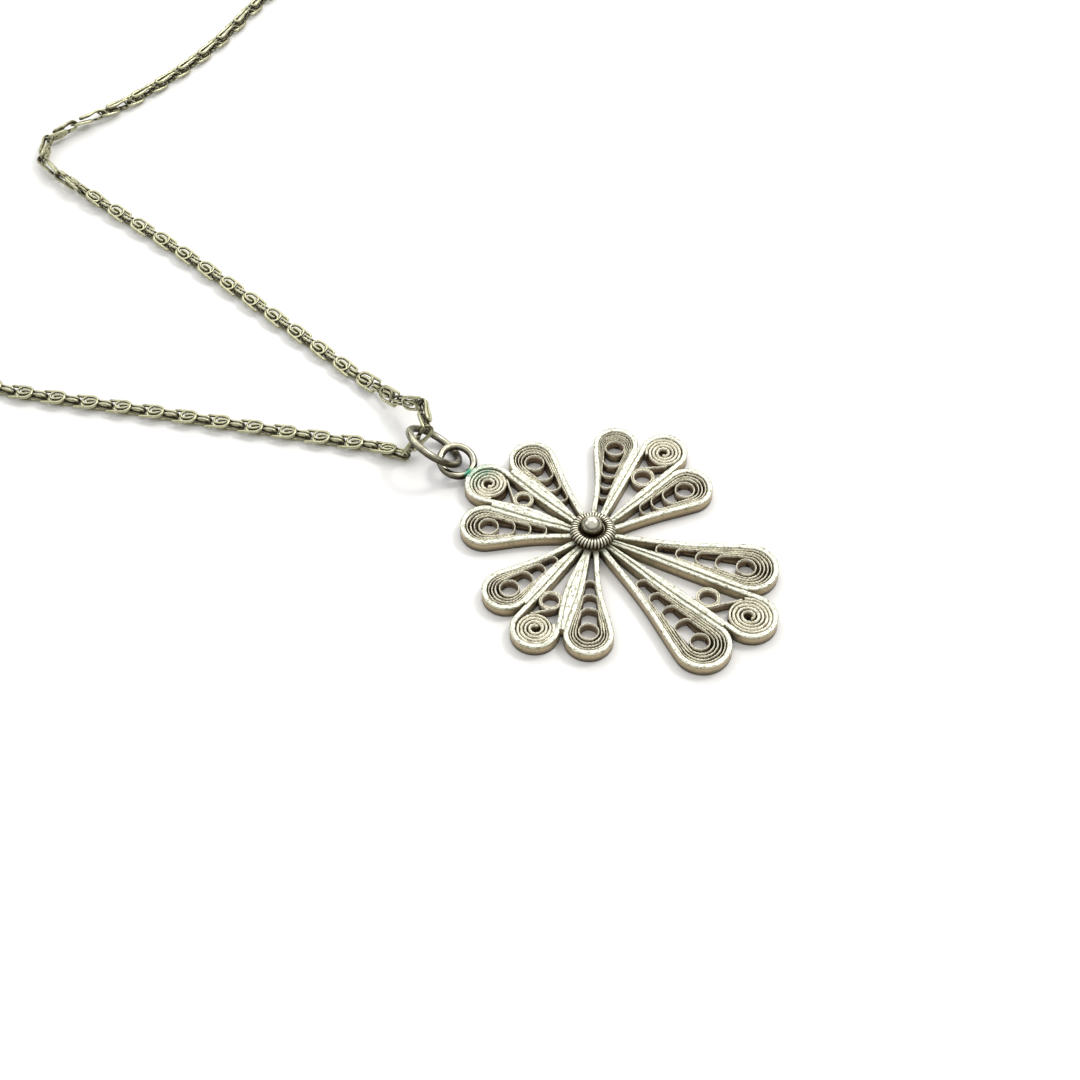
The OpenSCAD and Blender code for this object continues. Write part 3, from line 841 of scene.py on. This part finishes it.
# coreUnder is how many radii of the wire the core is thinner than the windings; the bead is a ball from
# beadFrom degrees below its middle up to its top
boss = {
    "ringR": 1.74, "ringZ": 1.92, "wound": 0.66, "wire": 0.14, "turns": 38, "turnSteps": 12,
    "coreUnder": 1.2, "coreSteps": 64, "sides": 8, "dents": (0.6, 0.04, 5.0),
    "hubR": 2.2, "hubFoot": 0.1, "hubTop": 1.42,
    "collar": [(1.45, 1.5), (1.42, 2.15), (1.34, 2.27), (1.2, 2.3), (1.05, 2.24), (0.9, 2.1)],
    "beadR": 1.12, "beadZ": 2.66, "beadAt": (-0.1, 0.04),
    "beadFrom": -60, "beadSpan": 149.5, "beadSteps": 20,
}


def inRadians(degrees):
    return [math.radians(d) for d in degrees]


def ringPath(centre, radius, turn, count):
    # circle in space, tilted by three angles
    rotation = Euler(inRadians(turn)).to_matrix()
    angles = [math.tau * i / count for i in range(count)]
    flat = [Vector((radius * math.cos(a), radius * math.sin(a), 0)) for a in angles]
    return [Vector(centre) + rotation @ point for point in flat]


def woundPath():
    # the wire wound round the boss's ring
    count = boss["turns"] * boss["turnSteps"]
    reach = boss["wound"] - boss["wire"]
    path = []
    for i in range(count):
        a = math.tau * i / count
        b = a * boss["turns"]
        r = boss["ringR"] + reach * math.cos(b)
        z = boss["ringZ"] + reach * math.sin(b)
        path.append((crossAt.x + r * math.cos(a), crossAt.y + r * math.sin(a), z))
    return path


def lathe(name, outline, centre, around=64):
    # turns an outline of (radius, z) points about an upright line through centre, and closes both ends flat
    points, faces = [], []
    rows = len(outline)
    for radius, z in outline:
        for i in range(around):
            a = math.tau * i / around
            x, y = centre[0] + radius * math.cos(a), centre[1] + radius * math.sin(a)
            points.append((x * mm, y * mm, z * mm))
    for r in range(rows - 1):
        for i in range(around):
            j = (i + 1) % around
            faces.append((r * around + i, r * around + j, (r + 1) * around + j, (r + 1) * around + i))
    faces.append(tuple(reversed(range(around))))
    faces.append(tuple((rows - 1) * around + i for i in range(around)))
    mesh = bpy.data.meshes.new(name)
    mesh.from_pydata(points, [], faces)
    mesh.polygons.foreach_set("use_smooth", [True] * len(mesh.polygons))
    return loose(name, mesh)


woundRails = Rails("thick")
woundRails.add(woundPath(), closed=True, thick=boss["wire"])
core = ringPath((crossAt.x, crossAt.y, boss["ringZ"]), boss["ringR"], (0, 0, 0), boss["coreSteps"])
woundRails.add(core, closed=True, thick=boss["wound"] - boss["wire"] * boss["coreUnder"])
crossBoss = grow("crossBoss", woundRails.mesh("crossBoss"), tubeTree, {
    "Sides": boss["sides"], "Material": materials["bossSilver"], **dents(*boss["dents"])})

hubOutline = [(boss["hubR"], boss["hubFoot"]), (boss["hubR"], boss["hubTop"]), *boss["collar"]]
crossHub = lathe("crossHub", hubOutline, crossAt.xy)
crossHub.data.materials.append(materials["bossSilver"])
beadSteps = boss["beadSteps"]
beadAngles = inRadians(boss["beadFrom"] + boss["beadSpan"] * i / beadSteps for i in range(beadSteps + 1))
beadOutline = [(boss["beadR"] * math.cos(a), boss["beadZ"] + boss["beadR"] * math.sin(a))
               for a in beadAngles]
crossBead = lathe("crossBead", beadOutline, crossAt.xy + Vector(boss["beadAt"]))
crossBead.data.materials.append(materials["beadSilver"])


# Bail ring, soldered to the edge of the disc that points to the chain, and the loose jump ring

# places are from the middle of the cross; the solder is at the bail and on the disc of the long arm
rings = {
    "wire": 0.4, "sides": 20,
    "bailAt": (-14.2, 9.85, 1.4), "bailR": 1.8, "bailTurn": (0, -16, 139), "bailSteps": 72,
    "bailDents": (2.0, 0.05, 2.0),
    "jumpAt": (-16.6, 11), "jumpR": 3.05, "jumpTurn": (0, 42, 36), "jumpSteps": 96,
    "jumpDents": (2.5, 0.05, 4.0),
    "solder": [
        {"path": [(-13.15, 8.55, 0.62), (-12.95, 8.4, 0.85), (-12.75, 8.3, 0.95)],
         "thick": [0.3, 0.4, 0.2]},
        {"path": [(13.0, -12.7, 0.5), (13.35, -12.95, 0.75), (13.6, -13.2, 0.5)],
         "thick": [0.2, 0.42, 0.25]}],
}

bailRails = Rails("thick")
bailAt = crossAt + Vector(rings["bailAt"])
bailRails.add(ringPath(bailAt, rings["bailR"], rings["bailTurn"], rings["bailSteps"]), closed=True,
              thick=rings["wire"])
for blob in rings["solder"]:
    bailRails.add([crossAt + Vector(point) for point in blob["path"]], thick=blob["thick"])
crossBail = grow("crossBail", bailRails.mesh("crossBail"), tubeTree, {
    "Sides": rings["sides"], "Material": materials["ringSilver"], **dents(*rings["bailDents"])})

# the jump ring's low edge lies on the floor
jumpRails = Rails("thick")
jumpZ = rings["wire"] + rings["jumpR"] * math.sin(math.radians(rings["jumpTurn"][1]))
jumpAt = crossAt + Vector((*rings["jumpAt"], jumpZ))
jumpRails.add(ringPath(jumpAt, rings["jumpR"], rings["jumpTurn"], rings["jumpSteps"]), closed=True,
              thick=rings["wire"])
jumpRing = grow("jumpRing", jumpRails.mesh("jumpRing"), tubeTree, {
    "Sides": rings["sides"], "Material": materials["ringSilver"], **dents(*rings["jumpDents"])})

shadeOpen([crossFrames, crossWires, crossBeds], [crossBoss])
shadeOpen([crossBoss, crossBead, crossBail, crossHub], [crossFrames], hollows["ringShadeDown"])
shadeOpen([jumpRing], [crossBail], hollows["ringShadeDown"])
for piece in (crossFrames, crossWires, crossBeds, crossBoss, crossHub, crossBead, crossBail):
    finishPiece(piece, "cross")
finishPiece(jumpRing, "jump_ring")
print("cross made")


# Chain: one scroll link, set at every hinge of the route

chain = {
    "pitch": 3.7, "width": 1.9, "height": 1.3, "lift": 0.01,
    # hinges through the jump ring, from the middle of the cross: place, height and roll of the link
    "passage": [
        (-23.25, 12.5, 0.74, -14), (-19.8, 11.15, 0.87, -68), (-17.3, 12.5, 3.24, -125),
        (-17.95, 16.15, 3.4, -82), (-20.8, 18, 1.98, -54), (-23.2, 20.7, 1.1, -22), (-26, 23.1, 0.72, 0)],
    # the two strands, each from the jump ring to the clasp: place and roll
    "near": [
        (-23.25, 12.5, 0), (-30, 13.9, 0), (-37, 15.3, 0), (-44, 16.7, 0), (-51, 18.1, 0), (-58, 19.4, 0),
        (-65, 21, 0), (-71.5, 24.2, 0), (-77, 29.3, 0), (-81.5, 36, 0), (-84.8, 44, 0), (-87.2, 53, 0),
        (-88.7, 63, 0), (-89.5, 74, 0), (-89.8, 85, 0), (-89.7, 96, 0), (-89.2, 107, 0), (-88, 118, 0),
        (-85.7, 129, 0), (-81.8, 139.5, 0), (-76, 149, 0), (-68, 156.8, 0), (-58.5, 161.6, 0),
        (-48, 163.2, 0)],
    "far": [
        (-26, 23.1, 0), (-29.5, 26.4, 0), (-34, 30.5, 0), (-39, 35.1, 0), (-44.5, 40, 0), (-50, 44.7, 0),
        (-55.5, 49, 0), (-60, 52.6, 30), (-63, 55.1, 55), (-64.9, 57.3, 75), (-65.4, 59.2, 90),
        (-64.7, 61, 105), (-62.9, 62.8, 125), (-60, 65, 150), (-55.5, 68.8, 180), (-50.5, 74, 180),
        (-46, 80, 180), (-41.5, 88, 180), (-36, 95.5, 180), (-29, 102.5, 180), (-22.5, 110, 180),
        (-18, 119, 180), (-16.2, 129, 180), (-17.2, 139.5, 180), (-21, 149, 180), (-27.5, 156.8, 180),
        (-36.5, 161.6, 180), (-46, 163.2, 180)],
    "nearLinks": 57, "farLinks": 50, "steps": 12, "tries": 4,
}


def curvePoints(rows):
    # Catmull-Rom curve through the rows
    last = len(rows) - 1
    points = []
    for i in range(last):
        a, b, c, d = (Vector(rows[j]) for j in (max(i - 1, 0), i, i + 1, min(i + 2, last)))
        for k in range(chain["steps"]):
            t = k / chain["steps"]
            points.append(b + 0.5 * t * (c - a) + t * t * (a - 2.5 * b + 2 * c - 0.5 * d)
                          + t ** 3 * (1.5 * (b - c) + 0.5 * (d - a)))
    return points + [Vector(rows[last])]


def lookUp(marks, points, s):
    # point at the length s of a route, whose marks are the lengths to its points
    if s <= marks[0]:
        return points[0]
    if s >= marks[-1]:
        return points[-1]
    i = next(j for j in range(1, len(marks)) if marks[j] >= s)
    return points[i - 1].lerp(points[i], (s - marks[i - 1]) / (marks[i] - marks[i - 1]))


def routeHinges(rows, count):
    # hinges a pitch apart along a route, each with the roll of its link
    points = curvePoints(rows)
    marks = [0.0]
    for p, q in zip(points, points[1:]):
        marks.append(marks[-1] + (q.xy - p.xy).length)

    def spot(s):
        # a link's hinge at rest on the floor: flat, or higher as the link rolls on its edge
        p = lookUp(marks, points, s)
        roll = math.radians(p.z)
        rest = chain["height"] / 2 * abs(math.cos(roll)) + chain["width"] / 2 * abs(math.sin(roll))
        return Vector((p.x, p.y, rest + chain["lift"]))

    hinges, s = [], 0.0
    for _ in range(count):
        guess = s if not hinges else s + chain["pitch"]
        start = spot(s)
        for _ in range(chain["tries"]):
            guess += chain["pitch"] - (spot(guess) - start).length
        s = guess
        hinges.append((*spot(s), lookUp(marks, points, s + chain["pitch"] / 2).z))
    return hinges


near = routeHinges(chain["near"], chain["nearLinks"])
far = routeHinges(chain["far"], chain["farLinks"])
hinges = near[::-1] + chain["passage"] + far

# the link lies along x from its own hinge at 0 to the next at one pitch; points are along and across; sizes
# of wire are radii, and ovalWire and hookTip are shares of wire; the rim is as thin as the hinge bar up to
# barTo, and mid is the middle of the scroll
link = {
    "slope": 0.1378, "wire": 0.185, "bar": 0.12, "barTo": 0.05,
    "rimSide": [(0, 0.3), (0, 0.68), (0.12, 0.77), (0.7, 0.77), (1.25, 0.77)],
    "faceX": 1.8, "faceR": 0.77, "faceAngles": (0, 22, 45, 68, 90),
    "ovalEnd": [(1.2, 0.71), (0.93, 0.5), (0.82, 0.0), (0.93, -0.5), (1.2, -0.71)], "ovalWire": 0.95,
    "hook": [(2.56, -0.12), (2.44, 0.12), (2.2, 0.27), (1.8, 0.27), (1.42, 0.216), (1.28, 0.1)],
    "mid": 1.72, "hookWire": 0.165, "hookLift": 0.03, "hookTip": 0.8,
    "neck": (2.62, 3.2), "aside": 0.2, "fold": 0.47, "foldWire": 0.15,
    "foldAngles": (0, 30, 60, 90, 120, 150, 180),
    # from the fold to the hairpin: along, across, height, radius
    "back": [
        (3.3, 0.2, -0.47, 0.15), (2.9, 0.2, -0.45, 0.15), (2.55, 0.26, -0.4, 0.19), (2.2, 0.3, -0.4, 0.22)],
    "hairpinX": 1.5, "hairpinHalf": 0.3, "hairpinZ": -0.4, "hairpinWire": 0.22,
    "hairpinAngles": (0, 30, 60, 90),
    "sides": 6, "dents": (0.6, 0.02, 6.0),
}


def mirrored(half):
    # a half path and its other half, back from the last point, which lies on the link's middle line
    return half + [(point[0], -point[1], *point[2:]) for point in reversed(half[:-1])]


def onFace(path, lift=0.0):
    # lays a flat path on the link's sloping face
    return [(x, y, x * link["slope"] + lift) for x, y in path]


def linkRails():
    rails = Rails("thick")
    # rim: hinge bar, two sides and the round end
    angles = inRadians(link["faceAngles"])
    end = [(link["faceX"] + link["faceR"] * math.sin(a), link["faceR"] * math.cos(a)) for a in angles]
    rim = mirrored(link["rimSide"] + end)
    thick = [link["bar"] if x < link["barTo"] else link["wire"] for x, y in rim]
    rails.add(onFace(rim), closed=True, thick=thick)
    # near end of the oval, and the two hooks of the scroll, the second turned half round from the first
    rails.add(onFace(link["ovalEnd"]), thick=link["wire"] * link["ovalWire"])
    hookThick = [link["hookWire"]] * (len(link["hook"]) - 1) + [link["wire"] * link["hookTip"]]
    for turned in (1, -1):
        path = [(link["mid"] + turned * (x - link["mid"]), turned * y) for x, y in link["hook"]]
        rails.add(onFace(path, link["hookLift"]), thick=hookThick)
    # two wires side by side: neck, fold round the next bar, and hairpin on the back
    leg = onFace([(x, link["aside"]) for x in link["neck"]])
    for a in inRadians(link["foldAngles"]):
        leg.append((chain["pitch"] + link["fold"] * math.sin(a), link["aside"], link["fold"] * math.cos(a)))
    thick = [link["foldWire"]] * len(leg) + [row[3] for row in link["back"]]
    leg += [row[:3] for row in link["back"]]
    for a in inRadians(link["hairpinAngles"]):
        leg.append((link["hairpinX"] - link["hairpinHalf"] * math.sin(a), link["hairpinHalf"] * math.cos(a),
                    link["hairpinZ"]))
        thick.append(link["hairpinWire"])
    rails.add(mirrored(leg), thick=thick + thick[-2::-1])
    return rails


linkPiece = grow("linkPiece", linkRails().mesh("linkPiece"), tubeTree, {
    "Sides": link["sides"], "Material": materials["chainSilver"], **dents(*link["dents"])})
neighbours = []
for way in (1, -1):
    neighbour = linkPiece.copy()
    neighbour.data = linkPiece.data.copy()
    neighbour.data.transform(Matrix.Translation((way * chain["pitch"] * mm, 0, 0)))
    neighbours.append(neighbour)
shadeOpen([linkPiece], neighbours, hollows["linkShadeSide"], hollows["linkReach"], hollows["linkRays"],
          bothFaces=True)
print("link", triangles(linkPiece), "triangles")


def buildChainTree():
    # sets the link at every point, turned by the point's own angles
    graph, given = newTree("setLinks", {"Link": "Object", "Material": "Material"})
    one = graph.node("GeometryNodeObjectInfo", {"transform_space": "ORIGINAL"}, {
        "Object": given.out("Link")}, out="Geometry")
    turn = graph.node("FunctionNodeEulerToRotation", None, {"Euler": recall(graph, "turn", "FLOAT_VECTOR")})
    placed = graph.node("GeometryNodeInstanceOnPoints", None, {
        "Points": given.out("Geometry"), "Instance": one, "Rotation": turn})
    return finishTree(graph, given, forget(graph, placed, "turn"))


chainPoints = bpy.data.meshes.new("chainPoints")
chainPoints.from_pydata([(crossAt + Vector(h[:3])) * mm for h in hinges[:-1]], [], [])
turns = []
for a, b in zip(hinges, hinges[1:]):
    way = Vector(b[:3]) - Vector(a[:3])
    turns += [math.radians(a[3]), -math.atan2(way.z, way.xy.length), math.atan2(way.y, way.x)]
chainPoints.attributes.new("turn", "FLOAT_VECTOR", "POINT").data.foreach_set("vector", turns)
chainLinks = grow("chainLinks", chainPoints, buildChainTree(), {
    "Link": linkPiece, "Material": materials["chainSilver"]})
finishPiece(chainLinks, "chain")
for helper in (linkPiece, *neighbours, stripSection, wireSection, bedSection):
    bpy.data.objects.remove(helper)
print("chain made:", len(hinges) - 1, "links")

# Clasp: the plain barrel of the CAD part, in a silver of its own
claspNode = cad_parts["clasp"]
claspNode.data.materials.clear()
claspNode.data.materials.append(materials["claspSilver"])


# Floor, light and camera

# paper is a pair of tones that its grain goes between; its half and the camera's clip are in metres; skyRise
# and edgeBand are how far up the sky the horizon goes over into it, and into a pale edge below
stage = {
    "paper": ((0.93, 0.93, 0.92), (0.95, 0.95, 0.945)), "paperGrain": 40.0, "paperDetail": 3.0,
    "paperRough": 0.8, "paperHalf": 3,
    "sky": (0.98, 0.975, 0.965), "horizon": (0.07, 0.06, 0.045), "edge": (0.80, 0.80, 0.79),
    "skyRise": (0.15, 0.72), "edgeBand": (0.02, 0.14, 1.0, 0.0), "skyPower": 0.93,
    "cameraAt": (30.524, -211.194, 174.53), "cameraTilt": 38.3, "lens": 71.67, "sensor": 36,
    "clip": (0.01, 10),
}

half = stage["paperHalf"]
corners = [(-half, -half, 0), (half, -half, 0), (half, half, 0), (-half, half, 0)]
floorMesh = bpy.data.meshes.new("floor")
floorMesh.from_pydata(corners, [], [(0, 1, 2, 3)])
floor = loose("floor", floorMesh)
floorPaint = bpy.data.materials.new("floorPaper")
floorPaint.use_nodes = True
floorPaint.node_tree.nodes.clear()
paper = Graph(floorPaint.node_tree)
paperGrain = paper.node("ShaderNodeTexNoise", None, {
    "Vector": paper.node("ShaderNodeTexCoord", out="Object"), "Scale": stage["paperGrain"],
    "Detail": stage["paperDetail"]})
paperShader = paper.node("ShaderNodeBsdfPrincipled", None, {
    "Base Color": paper.blend(paperGrain, *(opaque(tone) for tone in stage["paper"])),
    "Roughness": stage["paperRough"]})
paper.node("ShaderNodeOutputMaterial", None, {"Surface": paperShader})
floorMesh.materials.append(floorPaint)

world = bpy.data.worlds.new("studio")
world.use_nodes = True
world.node_tree.nodes.clear()
scene.world = world
sky = Graph(world.node_tree)
towards = sky.node("ShaderNodeTexCoord", out="Generated")
height = sky.node("ShaderNodeSeparateXYZ", None, {0: towards}, out="Z")
glow = sky.blend(height.ramp(*stage["skyRise"]), opaque(stage["horizon"]), opaque(stage["sky"]))
glow = sky.blend(height.ramp(*stage["edgeBand"]), glow, opaque(stage["edge"]))
background = sky.node("ShaderNodeBackground", None, {"Color": glow, "Strength": stage["skyPower"]})
sky.node("ShaderNodeOutputWorld", None, {"Surface": background})


def softLight(name, place, target, size, power, colour=(1, 1, 1)):
    lamp = bpy.data.lights.new(name, "AREA")
    lamp.shape, lamp.size, lamp.energy, lamp.color = "SQUARE", size, power, colour
    thing = bpy.data.objects.new(name, lamp)
    thing.location = place
    thing.rotation_euler = (Vector(target) - Vector(place)).to_track_quat("-Z", "Y").to_euler()
    scene.collection.objects.link(thing)


# places, targets and sizes in metres
softLight("keyLight", place=(0.38, 0.18, 0.55), target=(0.03, -0.06, 0), size=0.16, power=1.3,
          colour=(1.0, 0.98, 0.95))
softLight("backPanel", place=(0.03, 0.62, 0.60), target=(0.02, -0.04, 0), size=1.1, power=4.6)
softLight("leftPanel", place=(-0.75, 0.1, 0.5), target=(0.02, -0.04, 0), size=0.5, power=0.8)

camera = bpy.data.objects.new("camera", bpy.data.cameras.new("camera"))
camera.data.lens, camera.data.sensor_width = stage["lens"], stage["sensor"]
camera.data.clip_start, camera.data.clip_end = stage["clip"]
camera.location = Vector(stage["cameraAt"]) * mm
camera.rotation_euler = (math.radians(stage["cameraTilt"]), 0, 0)
scene.collection.objects.link(camera)
scene.camera = camera
scene.view_settings.view_transform = "Standard"
print("floor, light and camera set")
